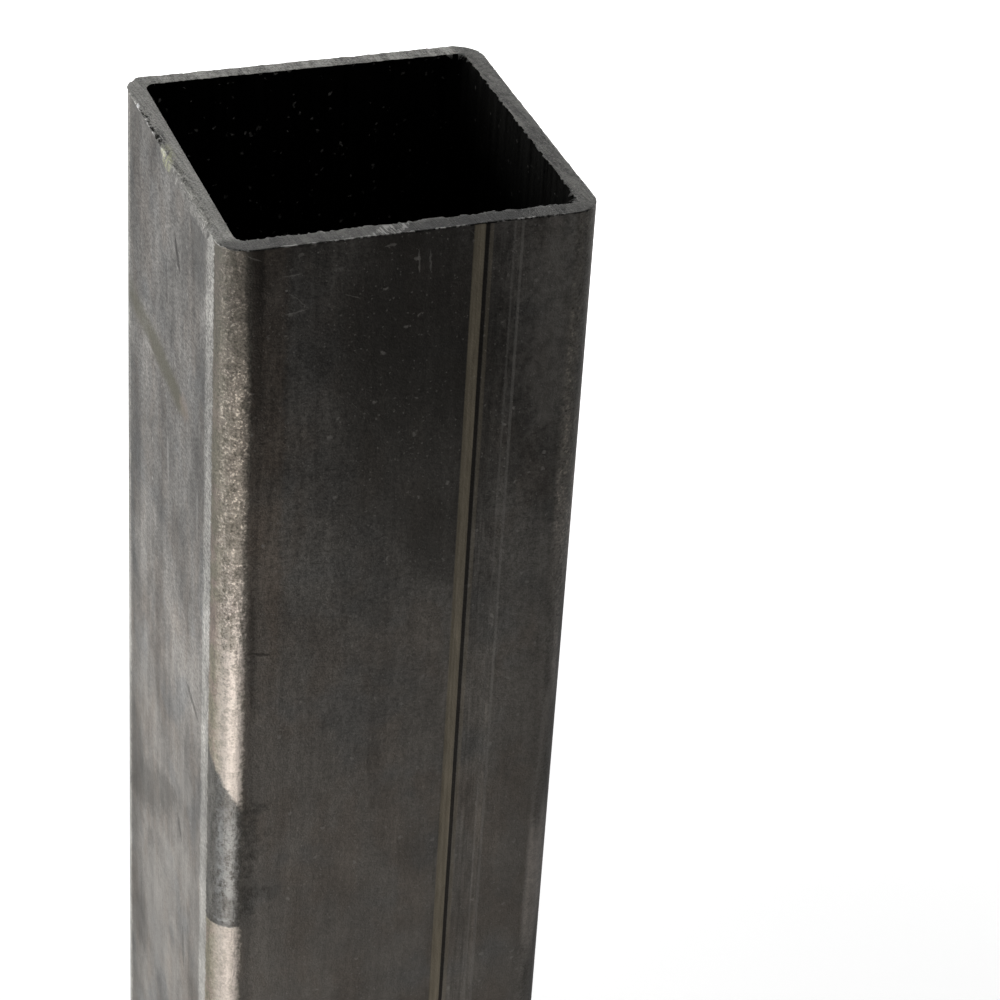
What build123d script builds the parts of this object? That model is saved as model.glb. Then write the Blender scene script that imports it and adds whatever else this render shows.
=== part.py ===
"""Welded square steel tube, cold formed and sawn to a stock length.

The tube stands on one sawn end. The origin is the centre of that end, +Z runs up the tube, and
the face that carries the weld looks along -Y. All sizes are in millimetres.
"""

import os

from build123d import *

# Section
SIDE = 100.0  # outside, across opposite faces
WALL = 5.0
OUTER_RADIUS = 8.0  # outside of the roll-formed corner
LENGTH = 500.0  # cut length

# Longitudinal weld in the front wall
SEAM_X = 21.0  # weld line, from the middle of the face
SCARF_WIDTH = 13.5  # strip outside, where the flash was planed off
SCARF_DEPTH = 0.2
SCARF_RAMP = 2.0  # width of the slope at each side of the strip
BEAD_WIDTH = 4.0  # flash left standing inside
BEAD_HEIGHT = 0.8

# Sawn ends
EDGE_BREAK = 0.4  # chamfer filed along the outer edge

BORE = SIDE - 2 * WALL
INNER_RADIUS = OUTER_RADIUS - WALL  # both radii of a bend share one centre
OUTER_FACE = -SIDE / 2  # front wall, outside
INNER_FACE = -BORE / 2  # front wall, inside


# The strip section: a rounded square wall of even thickness all the way round.
with BuildSketch() as strip_section:
    RectangleRounded(SIDE, SIDE, OUTER_RADIUS)
    RectangleRounded(BORE, BORE, INNER_RADIUS, mode=Mode.SUBTRACT)

# The planed strip over the weld: a shallow flat-bottomed groove with sloping sides.
with BuildSketch() as scarf_section:
    with BuildLine():
        Polyline(
            (SEAM_X - SCARF_WIDTH / 2, OUTER_FACE),
            (SEAM_X - SCARF_WIDTH / 2 + SCARF_RAMP, OUTER_FACE + SCARF_DEPTH),
            (SEAM_X + SCARF_WIDTH / 2 - SCARF_RAMP, OUTER_FACE + SCARF_DEPTH),
            (SEAM_X + SCARF_WIDTH / 2, OUTER_FACE),
            close=True,
        )
    make_face()

# The flash inside: a low crown whose toes lie on the wall.
with BuildSketch() as bead_section:
    with BuildLine():
        crown = ThreePointArc(
            (SEAM_X - BEAD_WIDTH / 2, INNER_FACE),
            (SEAM_X, INNER_FACE + BEAD_HEIGHT),
            (SEAM_X + BEAD_WIDTH / 2, INNER_FACE),
        )
        Line(crown @ 1, crown @ 0)
    make_face()

# Rolled, welded, planed and sawn: one piece.
with BuildPart() as square_tube:
    with BuildSketch():
        add(strip_section)
        add(bead_section)
        add(scarf_section, mode=Mode.SUBTRACT)
    extrude(amount=LENGTH)

    # Both saw cuts have their outer edge broken; the inner edge is left as it was cut.
    bottom_end = square_tube.faces().sort_by(Axis.Z)[0]
    top_end = square_tube.faces().sort_by(Axis.Z)[-1]
    outer_edges = bottom_end.outer_wire().edges() + top_end.outer_wire().edges()
    chamfer(outer_edges, EDGE_BREAK)

square_tube.part.label = "square_tube"

os.makedirs("parts", exist_ok=True)
export_step(square_tube.part, "parts/square_tube.step")
print("square_tube volume", round(square_tube.part.volume), "mm3")
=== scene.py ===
"""Looks of a sawn length of welded square steel tube.

The tube stands on its lower sawn end, in metres, with the origin in the middle of that end and the
welded wall towards -Y. One closed mesh stands for the whole tube: rolled outside, sawn ends with
their burrs, and the dark inside with its weld flash. Every finish is made of shader nodes.
"""

import logging
import math
from dataclasses import dataclass
from enum import Enum

import bpy
import numpy as np
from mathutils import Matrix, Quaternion, Vector, noise


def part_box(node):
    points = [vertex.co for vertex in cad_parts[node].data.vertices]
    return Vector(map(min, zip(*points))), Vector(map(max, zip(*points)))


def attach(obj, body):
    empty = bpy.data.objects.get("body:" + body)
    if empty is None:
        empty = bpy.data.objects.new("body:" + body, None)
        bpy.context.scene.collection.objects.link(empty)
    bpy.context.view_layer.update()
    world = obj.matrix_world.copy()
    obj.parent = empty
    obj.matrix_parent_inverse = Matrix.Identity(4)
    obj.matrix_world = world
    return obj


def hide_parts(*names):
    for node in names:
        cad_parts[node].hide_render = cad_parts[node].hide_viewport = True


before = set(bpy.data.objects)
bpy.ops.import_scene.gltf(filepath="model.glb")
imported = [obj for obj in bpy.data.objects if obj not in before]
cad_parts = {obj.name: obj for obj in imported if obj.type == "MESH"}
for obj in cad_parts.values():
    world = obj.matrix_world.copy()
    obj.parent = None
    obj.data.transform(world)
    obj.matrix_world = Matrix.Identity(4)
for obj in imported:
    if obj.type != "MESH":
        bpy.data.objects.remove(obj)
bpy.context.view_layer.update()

MM = 0.001
NODE = "square_tube"
SAW_LEAN = math.radians(6.0)  # saw marks from the Y direction, seen from above
GIRTH = 0.4  # a little over the way round the tube, in metres
SHAKE_SCALE = 700.0  # how fine the wander of the handling marks is
log = logging.getLogger("square_tube")

Socket = bpy.types.NodeSocket
Colour = tuple[float, float, float]
Point = tuple[float, float, float]


class Finish(Enum):
    """The finishes on the tube, in the order of the mesh's material slots."""

    ROLLED = 0
    SAWN = 1
    INSIDE = 2


class Wall(Enum):
    """The four walls, in quarter turns from the welded one, seen from above."""

    FRONT = 0
    RIGHT = 1
    BACK = 2
    LEFT = 3


# How far the burr reaches on each wall, as a share of its most.
BURR_SHARE = {Wall.FRONT: 1.0, Wall.RIGHT: 0.55, Wall.BACK: 0.2, Wall.LEFT: 0.08}


# ---------------------------------------------------------------------------------- geometry


def soft_step(value: np.ndarray, start: float, end: float) -> np.ndarray:
    """Smooth rise from 0, where the value is start, to 1, where it is end."""
    share = np.clip((value - start) / (end - start), 0.0, 1.0)
    return share * share * (3.0 - 2.0 * share)


def window(value: np.ndarray, start: float, end: float, ramp: float) -> np.ndarray:
    """1 between start and end, falling smoothly to 0 over the ramp outside them."""
    return soft_step(value, start - ramp, start) * soft_step(-value, -end - ramp, -end)


def ripple(place: np.ndarray, cell: float, seed: int) -> np.ndarray:
    """Smooth random line with one free value in each cell.

    Args:
        place: Positions along the line, in metres, within 0.3 m of zero.
        cell: Length of a cell, in metres.
        seed: Picks the line.

    Returns:
        The line's height at each place, from -1 to 1.
    """
    reach = 0.3
    cells = int(2.0 * reach / cell) + 2
    heights = np.random.default_rng(seed).uniform(-1.0, 1.0, cells)
    at = (place + reach) / cell
    low = np.floor(at).astype(int)
    share = at - low
    share = share * share * (3.0 - 2.0 * share)
    return heights[low] * (1.0 - share) + heights[low + 1] * share


@dataclass(frozen=True)
class Columns:
    """Upright lines on the outer surface, in order round the tube, with the way out at each."""

    x: np.ndarray
    y: np.ndarray
    out_x: np.ndarray
    out_y: np.ndarray
    travel: np.ndarray  # way gone round, from 0 to 1

    @property
    def around(self) -> np.ndarray:
        """Way round from the front left bend: below 0 on the left wall, above 0 on the front."""
        return self.x - self.y

    @property
    def near(self) -> np.ndarray:
        """True on the left and front walls, which meet at the front left bend."""
        return self.x + self.y < 0.0

    @property
    def on_front(self) -> np.ndarray:
        """True on the flat of the welded wall."""
        return self.out_y < -0.999

    @property
    def way(self) -> np.ndarray:
        """Way gone round in metres, counted from half of it, for reading random lines."""
        return self.travel * GIRTH - GIRTH / 2.0

    def points(self, depth: np.ndarray | float, height: np.ndarray | float) -> np.ndarray:
        """Points on these columns.

        Args:
            depth: How far in from the outer surface, in metres.
            height: How far up the tube, in metres.

        Returns:
            One row of x, y and z for each column.
        """
        count = len(self.x)
        depth = np.broadcast_to(depth, count)
        height = np.broadcast_to(height, count)
        return np.stack([self.x - depth * self.out_x, self.y - depth * self.out_y, height], 1)


@dataclass(frozen=True)
class Section:
    """The rounded square section, with the planed strip outside the weld and the flash inside."""

    half: float
    wall: float = 5.0 * MM
    bend: float = 8.0 * MM
    seam: float = 21.0 * MM
    strip_width: float = 13.5 * MM
    strip_depth: float = 0.2 * MM
    strip_ramp: float = 2.0 * MM
    flash_width: float = 4.0 * MM
    flash_height: float = 0.8 * MM
    flat_steps: int = 28
    bend_steps: int = 8
    flash_steps: int = 8
    bend_spacing: float = 0.25 * MM  # columns in a bend stand no closer than this
    hollow: float = 0.12 * MM  # how far a wall sinks in the middle
    roll_waves: float = 0.012 * MM  # height of the lengthwise waves that the rolls leave
    drift: float = 0.05 * MM  # height of slow unevenness

    @property
    def flat(self) -> float:
        """Half the width of the flat of a wall, between its bends."""
        return self.half - self.bend

    def stations(self, wall: Wall) -> np.ndarray:
        """Places along the flat of a wall that carry a column in every ring.

        Args:
            wall: The wall.

        Returns:
            Places along the wall from bend to bend, in metres from its middle.
        """
        places = np.linspace(-self.flat, self.flat, self.flat_steps + 1)
        if wall is not Wall.FRONT:
            return places
        edge = self.strip_width / 2.0
        ramps = [-edge, self.strip_ramp / 2.0 - edge, self.strip_ramp - edge]
        ramps += [-place for place in ramps]
        flash = np.linspace(-self.flash_width / 2.0, self.flash_width / 2.0, self.flash_steps + 1)
        beside = places[np.abs(places - self.seam) > edge + 0.5 * MM]
        return np.sort(np.concatenate([beside, self.seam + np.array(ramps), self.seam + flash]))

    def columns(self, spacing: float) -> Columns:
        """Columns round the whole section, no further apart than about the spacing.

        Args:
            spacing: Distance between columns, in metres. Wide spacing still keeps every station.

        Returns:
            The columns, from the front left bend round to it again.
        """
        sides = []
        quarter = 2.0 * self.flat + self.bend * math.pi / 2.0
        for wall in Wall:
            along = refined(self.stations(wall), spacing)[:-1]
            angles = np.linspace(-math.pi / 2.0, 0.0, self.bend_steps + 1)
            angles = refined(angles, max(spacing, self.bend_spacing) / self.bend)[:-1]
            cos, sin = np.cos(angles), np.sin(angles)
            x = np.concatenate([along, self.flat + self.bend * cos])
            y = np.concatenate([np.full(len(along), -self.half), self.bend * sin - self.flat])
            out_x = np.concatenate([np.zeros(len(along)), cos])
            out_y = np.concatenate([np.full(len(along), -1.0), sin])
            bend_gone = 2.0 * self.flat + self.bend * (angles + math.pi / 2.0)
            gone = np.concatenate([along + self.flat, bend_gone]) + wall.value * quarter
            turn = wall.value * math.pi / 2.0
            cos, sin = round(math.cos(turn)), round(math.sin(turn))
            place = (x * cos - y * sin, x * sin + y * cos)
            out = (out_x * cos - out_y * sin, out_x * sin + out_y * cos)
            sides.append((*place, *out, gone / (4.0 * quarter)))
        return Columns(*[np.concatenate(parts) for parts in zip(*sides)])

    def outer_depth(self, columns: Columns, height: np.ndarray | float) -> np.ndarray:
        """How far the real outer surface lies inside the nominal one.

        Args:
            columns: Where to read it round the tube.
            height: Where to read it up the tube, in metres.

        Returns:
            Depth at each column, in metres, never below 0.
        """
        height = np.broadcast_to(height, len(columns.x))
        along = np.where(np.abs(columns.out_x) > 0.5, columns.y, columns.x)
        across = np.clip(along / self.flat, -1.0, 1.0)
        sag = self.hollow * (1.0 - across * across)
        rolls = ripple(along, 9.0 * MM, 5) + 0.5 * ripple(along, 4.0 * MM, 6)
        rolls = self.roll_waves * (rolls + 1.5) * (1.0 - across**4)
        places = zip(columns.x, columns.y, height)
        drift = [noise.noise(Vector((x * 18.0, y * 18.0, z * 9.0))) for x, y, z in places]
        drift = self.drift * (np.array(drift) + 1.0)
        strip = np.abs(columns.x - self.seam)
        edge = self.strip_width / 2.0
        planed = self.strip_depth * (1.0 - np.clip((strip - edge) / self.strip_ramp + 1.0, 0.0, 1.0))
        planed = np.where(columns.on_front, planed, 0.0)
        return sag + rolls + drift + planed

    def inner_depth(self, columns: Columns) -> np.ndarray:
        """How deep the inner surface lies, with the flash standing on it.

        Args:
            columns: Where to read it round the tube.

        Returns:
            Depth at each column, in metres.
        """
        across = (columns.x - self.seam) / (self.flash_width / 2.0)
        crown = self.flash_height * np.clip(1.0 - across * across, 0.0, 1.0)
        return self.wall + np.where(columns.on_front, crown, 0.0)


def refined(places: np.ndarray, spacing: float) -> np.ndarray:
    """The same places, with more put evenly between them.

    Args:
        places: Rising values.
        spacing: Gap wanted between values.

    Returns:
        Rising values that hold every one of places.
    """
    runs = []
    for start, end in zip(places[:-1], places[1:]):
        steps = max(1, round((end - start) / spacing))
        runs.append(np.linspace(start, end, steps + 1)[:-1])
    return np.append(np.concatenate(runs), places[-1])


@dataclass(frozen=True)
class SawnEnd:
    """One cut end: its broken outer edge, saw marks, tear, ground stretch and inner burr."""

    half: float
    top: bool
    edge_break: float = 0.35 * MM
    edge_uneven: float = 0.4  # how much the broken edge varies, and how much more at the back
    back_uneven: float = 0.35
    chip_size: float = 2.4 * MM
    chip_floor: float = 0.72  # a random line makes a chip where it rises past this
    mark_depth: float = 0.11 * MM
    mark_waves: tuple[tuple[float, float], ...] = ((0.5, 5.0 * MM), (0.3, 1.9 * MM), (0.2, 0.7 * MM))
    ground_start: float = -56.0 * MM  # stretch of the edge that a grinder has rounded over
    ground_end: float = -15.0 * MM
    ground_size: float = 2.0 * MM
    ground_steep: float = 1.7  # its reach down the wall, over its reach across the cut
    ground_ramp: float = 5.0 * MM
    tear_start: float = -79.0 * MM  # stretch where the edge has torn open
    tear_end: float = -61.0 * MM
    tear_depth: float = 0.9 * MM
    burr_reach: float = 1.0 * MM
    ragged_reach: float = 1.7 * MM  # flakes in the right corners
    ragged_hang: float = 0.9 * MM
    lip_reach: float = 0.6 * MM  # metal pushed out over the back left bend

    @property
    def seed(self) -> int:
        """Start of this end's random lines."""
        return 100 if self.top else 200

    def edge_size(self, columns: Columns) -> tuple[np.ndarray, np.ndarray]:
        """Size of the broken outer edge.

        Args:
            columns: Where to read it round the tube.

        Returns:
            Its reach across the sawn face and its reach along the wall, in metres.
        """
        way = columns.way
        uneven = ripple(way, 2.4 * MM, self.seed) + 0.6 * ripple(way, 0.8 * MM, self.seed + 1)
        back = np.clip(columns.out_y, 0.0, 1.0)
        uneven = (self.edge_uneven + self.back_uneven * back) * uneven
        size = self.edge_break * np.maximum(1.0 + uneven, 0.1)
        chips = np.clip(ripple(way, 1.6 * MM, self.seed + 2) - self.chip_floor, 0.0, 1.0)
        chips = chips * self.chip_size
        across, along = size + 0.5 * chips, size + chips
        if self.top:
            ground = window(columns.around, self.ground_start, self.ground_end, self.ground_ramp)
            ground = np.where(columns.near, ground, 0.0)
            rough = 1.0 + 0.15 * ripple(way, 3.0 * MM, self.seed + 3)
            across = across + ground * self.ground_size * rough
            along = along + ground * self.ground_size * self.ground_steep * rough
        return across, along

    def saw_marks(self, columns: Columns, depth: np.ndarray) -> np.ndarray:
        """Relief left by the saw on the cut face.

        Args:
            columns: Where to read it round the tube.
            depth: Where to read it through the wall, in metres.

        Returns:
            How far the face lies inside the cut plane, in metres, never below 0.
        """
        x = columns.x - depth * columns.out_x
        y = columns.y - depth * columns.out_y
        across = x * math.cos(SAW_LEAN) + y * math.sin(SAW_LEAN)
        wave = np.zeros(len(across))
        for order, (share, width) in enumerate(self.mark_waves):
            wave = wave + share * ripple(across, width, self.seed + 4 + order)
        return self.mark_depth * (1.0 + wave) / 2.0

    def tear(self, columns: Columns, depth: np.ndarray) -> np.ndarray:
        """Open groove along the torn stretch of the outer edge.

        Args:
            columns: Where to read it round the tube.
            depth: Where to read it through the wall, in metres.

        Returns:
            How deep the groove is, in metres.
        """
        if not self.top:
            return np.zeros(len(columns.x))
        stretch = window(columns.around, self.tear_start, self.tear_end, 2.5 * MM)
        stretch = np.where(columns.near, stretch, 0.0)
        way = columns.way
        middle = (0.75 + 0.3 * ripple(way, 2.2 * MM, self.seed + 7)) * MM
        width = (0.3 + 0.12 * ripple(way, 1.3 * MM, self.seed + 8)) * MM
        rough = np.clip(0.5 + 0.9 * ripple(way, 1.0 * MM, self.seed + 9), 0.0, 1.0)
        return self.tear_depth * stretch * rough * np.exp(-(((depth - middle) / width) ** 2))

    def lip(self, columns: Columns) -> np.ndarray:
        """Metal that the saw pushed out over the back left bend.

        Args:
            columns: Where to read it round the tube.

        Returns:
            How far the edge stands out, in metres, within the nominal square.
        """
        if not self.top:
            return np.zeros(len(columns.x))
        way = columns.way
        corner = np.clip(columns.out_y - columns.out_x - 0.95, 0.0, 0.3) / 0.3
        uneven = 0.75 + 0.25 * ripple(way, 1.1 * MM, self.seed + 13)
        slope_x = np.maximum(np.abs(columns.out_x), 1e-3)
        slope_y = np.maximum(np.abs(columns.out_y), 1e-3)
        room_x = (self.half - np.abs(columns.x)) / slope_x
        room_y = (self.half - np.abs(columns.y)) / slope_y
        room = np.maximum(np.minimum(room_x, room_y), 0.0)
        return np.minimum(self.lip_reach * corner * uneven, 0.9 * room)

    def burr(self, columns: Columns) -> tuple[np.ndarray, np.ndarray]:
        """The torn lip along the inner edge.

        Args:
            columns: Where to read it round the tube.

        Returns:
            How far the lip reaches into the hollow, and how far it hangs down, in metres.
        """
        way = columns.way
        jagged = np.clip(columns.out_x, 0.0, 1.0) * ripple(way, 1.1 * MM, self.seed + 15)
        bumps = 0.5 + 0.5 * ripple(way, 2.6 * MM, self.seed + 11) + 0.6 * jagged
        teeth = np.clip(ripple(way, 1.3 * MM, self.seed + 10), 0.0, 1.0)
        spikes = np.clip(ripple(way, 0.9 * MM, self.seed + 14) - 0.4, 0.0, 1.0)
        torn = np.clip(0.9 * (bumps - 0.3) + 1.1 * teeth + 1.9 * spikes, 0.03, 1.0)
        amount = np.zeros(len(columns.x))
        for wall, share in BURR_SHARE.items():
            turn = wall.value * math.pi / 2.0 - math.pi / 2.0
            facing = columns.out_x * math.cos(turn) + columns.out_y * math.sin(turn)
            amount = amount + share * np.clip(facing, 0.0, 1.0) ** 2
        reach = self.burr_reach * amount * torn
        corner = np.minimum(np.abs(columns.x), np.abs(columns.y))
        ragged = soft_step(corner, 34.0 * MM, 43.0 * MM) * (columns.x > 0.0)
        flakes = np.clip(1.3 * ripple(way, 1.0 * MM, self.seed + 12), 0.0, 1.0)
        hang = 0.04 * MM + 0.08 * reach + ragged * flakes * self.ragged_hang
        reach = reach + self.ragged_reach * ragged * flakes
        return np.maximum(reach, 0.03 * MM), hang

    def profile(
        self, columns: Columns, outer: np.ndarray, inner: np.ndarray, steps: int
    ) -> list[tuple[np.ndarray, np.ndarray, Finish]]:
        """Rings over the cut, from the outer surface to the inner one.

        Args:
            columns: The columns of every ring.
            outer: Depth of the outer surface at each column.
            inner: Depth of the inner surface at each column.
            steps: Rings over the flat of the cut face.

        Returns:
            A (depth, distance below the cut plane, finish) for each ring, in metres.
        """
        across, along = self.edge_size(columns)
        lip = self.lip(columns)
        rings = []
        for turn in np.linspace(0.0, math.pi / 2.0, 5):
            depth = outer + across * (1.0 - math.cos(turn)) - lip * math.sin(turn) ** 0.7
            below = along * (1.0 - math.sin(turn))
            below = below + (self.saw_marks(columns, depth) + self.tear(columns, depth)) * math.sin(turn)
            rings.append((depth, below, Finish.SAWN))
        start = outer + across - lip
        for step in range(1, steps + 1):
            share = step / steps
            share = 0.6 * share * share + 0.4 * share
            depth = start + (inner - start) * share
            below = self.saw_marks(columns, depth) + self.tear(columns, depth)
            rings.append((depth, below, Finish.SAWN))
        reach, hang = self.burr(columns)
        face = rings[-1][1]
        rings.append((inner + 0.6 * reach, face + 0.3 * hang, Finish.SAWN))
        rings.append((inner + reach, face + hang, Finish.SAWN))
        rings.append((inner + 0.8 * reach, face + hang + 0.12 * MM, Finish.INSIDE))
        rings.append((inner, face + 0.5 * hang + 0.45 * MM, Finish.INSIDE))
        return rings


class Skin:
    """Closed rings of points, each stitched to the one before, that end as one mesh."""

    def __init__(self) -> None:
        """Starts with no rings."""
        self.points: list[np.ndarray] = []
        self.faces: list[tuple[int, ...]] = []
        self.slots: list[int] = []
        self.rings: list[tuple[int, np.ndarray]] = []
        self.total = 0

    def add(
        self, columns: Columns, depth: np.ndarray | float, height: np.ndarray | float, finish: Finish
    ) -> None:
        """Adds a ring and the faces between it and the last one.

        Args:
            columns: The ring's columns.
            depth: How far in from the nominal outer surface each point lies, in metres.
            height: How far up the tube each point lies, in metres.
            finish: What the new faces are made of.
        """
        points = columns.points(depth, height)
        ring = (self.total, columns.travel)
        self.points.append(points)
        self.total += len(points)
        if self.rings:
            self.stitch(self.rings[-1], ring, finish)
        self.rings.append(ring)

    def stitch(self, first: tuple[int, np.ndarray], second: tuple[int, np.ndarray], finish: Finish) -> None:
        """Fills the band between two rings, with quads where their columns meet.

        Args:
            first: Start index and travel of the ring to come from.
            second: Start index and travel of the ring to go to.
            finish: What the faces are made of.
        """
        start_a, travel_a = first
        start_b, travel_b = second
        count_a, count_b = len(travel_a), len(travel_b)
        ends_a, ends_b = np.append(travel_a[1:], 1.0), np.append(travel_b[1:], 1.0)
        before = len(self.faces)
        i = j = 0
        while i < count_a or j < count_b:
            a, b = start_a + i % count_a, start_b + j % count_b
            next_a, next_b = start_a + (i + 1) % count_a, start_b + (j + 1) % count_b
            end_a = ends_a[i] if i < count_a else 2.0
            end_b = ends_b[j] if j < count_b else 2.0
            if abs(end_a - end_b) < 1e-7:
                self.faces.append((a, next_a, next_b, b))
                i, j = i + 1, j + 1
            elif end_a < end_b:
                self.faces.append((a, next_a, b))
                i += 1
            else:
                self.faces.append((a, next_b, b))
                j += 1
        self.slots += [finish.value] * (len(self.faces) - before)

    def close(self, finish: Finish) -> None:
        """Stitches the last ring to the first."""
        self.stitch(self.rings[-1], self.rings[0], finish)

    def mesh(self, name: str, sharp: float) -> bpy.types.Mesh:
        """The finished mesh.

        Args:
            name: Its name.
            sharp: Edges that turn by more than this angle stay sharp, in radians.

        Returns:
            The mesh, with each face in its finish's slot.
        """
        mesh = bpy.data.meshes.new(name)
        mesh.from_pydata(np.concatenate(self.points).tolist(), [], self.faces)
        mesh.polygons.foreach_set("material_index", self.slots)
        mesh.polygons.foreach_set("use_smooth", [True] * len(self.faces))
        mesh.update()
        mesh.set_sharp_from_angle(angle=sharp)
        return mesh


# ---------------------------------------------------------------------------------- shader nodes


class Board:
    """A node tree with short calls. Each call adds a node and returns the socket with its result."""

    def __init__(self, tree: bpy.types.NodeTree) -> None:
        """Draws on a node tree."""
        self.tree = tree

    def add(self, kind: str, **settings: object) -> bpy.types.Node:
        """A new node.

        Args:
            kind: Its type, as Blender names it.
            settings: Properties to set on it.

        Returns:
            The node.
        """
        node = self.tree.nodes.new(kind)
        for name, value in settings.items():
            setattr(node, name, value)
        return node

    def feed(self, socket: Socket, value: object) -> None:
        """Links a socket to another, or sets its own value.

        Args:
            socket: The input.
            value: An output socket, or a number, colour or vector.
        """
        if isinstance(value, bpy.types.NodeSocket):
            self.tree.links.new(value, socket)
        elif socket.type == "RGBA":
            socket.default_value = (*value, 1.0)
        else:
            socket.default_value = value

    def math(self, operation: str, first: object, second: object = 0.0, third: object = 0.0) -> Socket:
        """A Math node.

        Args:
            operation: Its operation, as Blender names it.
            first: First number or socket.
            second: Second number or socket.
            third: Third number or socket.

        Returns:
            The result.
        """
        node = self.add("ShaderNodeMath", operation=operation)
        for socket, value in zip(node.inputs, (first, second, third)):
            self.feed(socket, value)
        return node.outputs[0]

    def plus(self, first: object, second: object) -> Socket:
        """The sum of two numbers."""
        return self.math("ADD", first, second)

    def line(self, value: object, slope: object, start: object) -> Socket:
        """A value times a slope, plus a start."""
        return self.math("MULTIPLY_ADD", value, slope, start)

    def gain(self, mask: Socket, amount: float) -> Socket:
        """1, and more by the amount where the mask is 1."""
        return self.line(mask, amount, 1.0)

    def eased(self, level: Socket, amount: Socket) -> Socket:
        """A brightness that is drawn in to 1 where the amount is below 1."""
        return self.line(self.plus(level, -1.0), amount, 1.0)

    def rest(self, share: Socket) -> Socket:
        """What a share leaves of 1."""
        return self.math("SUBTRACT", 1.0, share)

    def fold(self, operation: str, values: tuple[object, ...]) -> Socket:
        """Math nodes in a row, each taking one more value.

        Args:
            operation: Their operation, as Blender names it.
            values: Numbers or sockets.

        Returns:
            The result of the last one, or the value itself where there is only one.
        """
        result = values[0]
        for value in values[1:]:
            result = self.math(operation, result, value)
        return result

    def times(self, *values: object) -> Socket:
        """The product of the values."""
        return self.fold("MULTIPLY", values)

    def most(self, *values: object) -> Socket:
        """The largest of the values."""
        return self.fold("MAXIMUM", values)

    def vector(self, operation: str, first: object, second: object = (0.0, 0.0, 0.0)) -> Socket:
        """A Vector Math node.

        Args:
            operation: Its operation, as Blender names it.
            first: First vector or socket.
            second: Second vector or socket.

        Returns:
            The result, a number for a dot product or a length.
        """
        node = self.add("ShaderNodeVectorMath", operation=operation)
        self.feed(node.inputs[0], first)
        self.feed(node.inputs[1], second)
        return node.outputs[1 if operation in ("DOT_PRODUCT", "LENGTH") else 0]

    def split(self, vector: Socket) -> tuple[Socket, Socket, Socket]:
        """The x, y and z of a vector.

        Args:
            vector: The vector.

        Returns:
            Its three numbers.
        """
        node = self.add("ShaderNodeSeparateXYZ")
        self.feed(node.inputs[0], vector)
        return tuple(node.outputs)

    def joined(self, *parts: object) -> Socket:
        """A vector from its x, y and z.

        Args:
            parts: Its three numbers or sockets.

        Returns:
            The vector.
        """
        node = self.add("ShaderNodeCombineXYZ")
        for socket, value in zip(node.inputs, parts):
            self.feed(socket, value)
        return node.outputs[0]

    def fade(
        self, value: Socket, start: object, end: object, low: object = 0.0, high: object = 1.0
    ) -> Socket:
        """A smooth step between two values.

        Args:
            value: What is read.
            start: Value that gives low.
            end: Value that gives high.
            low: Result at and before start.
            high: Result at and past end.

        Returns:
            The step.
        """
        node = self.add("ShaderNodeMapRange", interpolation_type="SMOOTHSTEP")
        for socket, item in zip(node.inputs, (value, start, end, low, high)):
            self.feed(socket, item)
        return node.outputs[0]

    def band(self, value: Socket, start: float, end: float, ramp: float) -> Socket:
        """1 between start and end, falling to 0 over the ramp outside them.

        Args:
            value: What is read.
            start: Lower end.
            end: Upper end.
            ramp: Width of each slope.

        Returns:
            The band.
        """
        rise = self.fade(value, start - ramp, start)
        fall = self.fade(value, end, end + ramp, 1.0, 0.0)
        return self.times(rise, fall)

    def tint(self, share: object, first: object, second: object, blend: str = "MIX") -> Socket:
        """Two colours mixed.

        Args:
            share: How much of the second, from 0 to 1.
            first: First colour or socket.
            second: Second colour or socket.
            blend: How they mix, as Blender names it.

        Returns:
            The colour.
        """
        node = self.add("ShaderNodeMix", data_type="RGBA", blend_type=blend)
        self.feed(node.inputs[0], share)
        self.feed(node.inputs[6], first)
        self.feed(node.inputs[7], second)
        return node.outputs[2]

    def paint(self, under: object, over: object, *masks: object) -> Socket:
        """A colour laid over another where every mask is 1."""
        return self.tint(self.times(*masks), under, over)

    def scaled(self, colour: object, amount: object) -> Socket:
        """A colour times a number.

        Args:
            colour: A colour or socket.
            amount: A number or socket.

        Returns:
            The colour.
        """
        node = self.add("ShaderNodeVectorMath", operation="SCALE")
        self.feed(node.inputs[0], colour)
        self.feed(node.inputs["Scale"], amount)
        return node.outputs[0]

    def noise(self, vector: Socket, scale: object, detail: float = 2.0, rough: float = 0.5) -> Socket:
        """A Noise texture.

        Args:
            vector: Where to read it.
            scale: How fine it is.
            detail: How many finer layers it has.
            rough: How strong the finer layers are.

        Returns:
            Its value, around 0.5.
        """
        node = self.add("ShaderNodeTexNoise")
        self.feed(node.inputs["Vector"], vector)
        self.feed(node.inputs["Scale"], scale)
        node.inputs["Detail"].default_value = detail
        node.inputs["Roughness"].default_value = rough
        return node.outputs[0]

    def curve(self, value: Socket, stops: dict[float, float]) -> Socket:
        """A number read off a run of stops.

        Args:
            value: Where to read it, from 0 to 1.
            stops: Result at each place, from 0 to 1.

        Returns:
            The result, smooth between the stops.
        """
        node = self.add("ShaderNodeValToRGB")
        ramp = node.color_ramp
        ramp.interpolation = "EASE"
        while len(ramp.elements) < len(stops):
            ramp.elements.new(0.5)
        for element, (place, level) in zip(ramp.elements, stops.items()):
            element.position = place
            element.color = (level, level, level, 1.0)
        self.feed(node.inputs[0], value)
        return node.outputs[0]

    def group(self, tree: bpy.types.NodeTree, **values: object) -> bpy.types.Node:
        """A group node.

        Args:
            tree: The group.
            values: Its inputs, by name with _ for each space.

        Returns:
            The node.
        """
        node = self.add("ShaderNodeGroup", node_tree=tree)
        for name, value in values.items():
            self.feed(node.inputs[name.replace("_", " ")], value)
        return node


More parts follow.
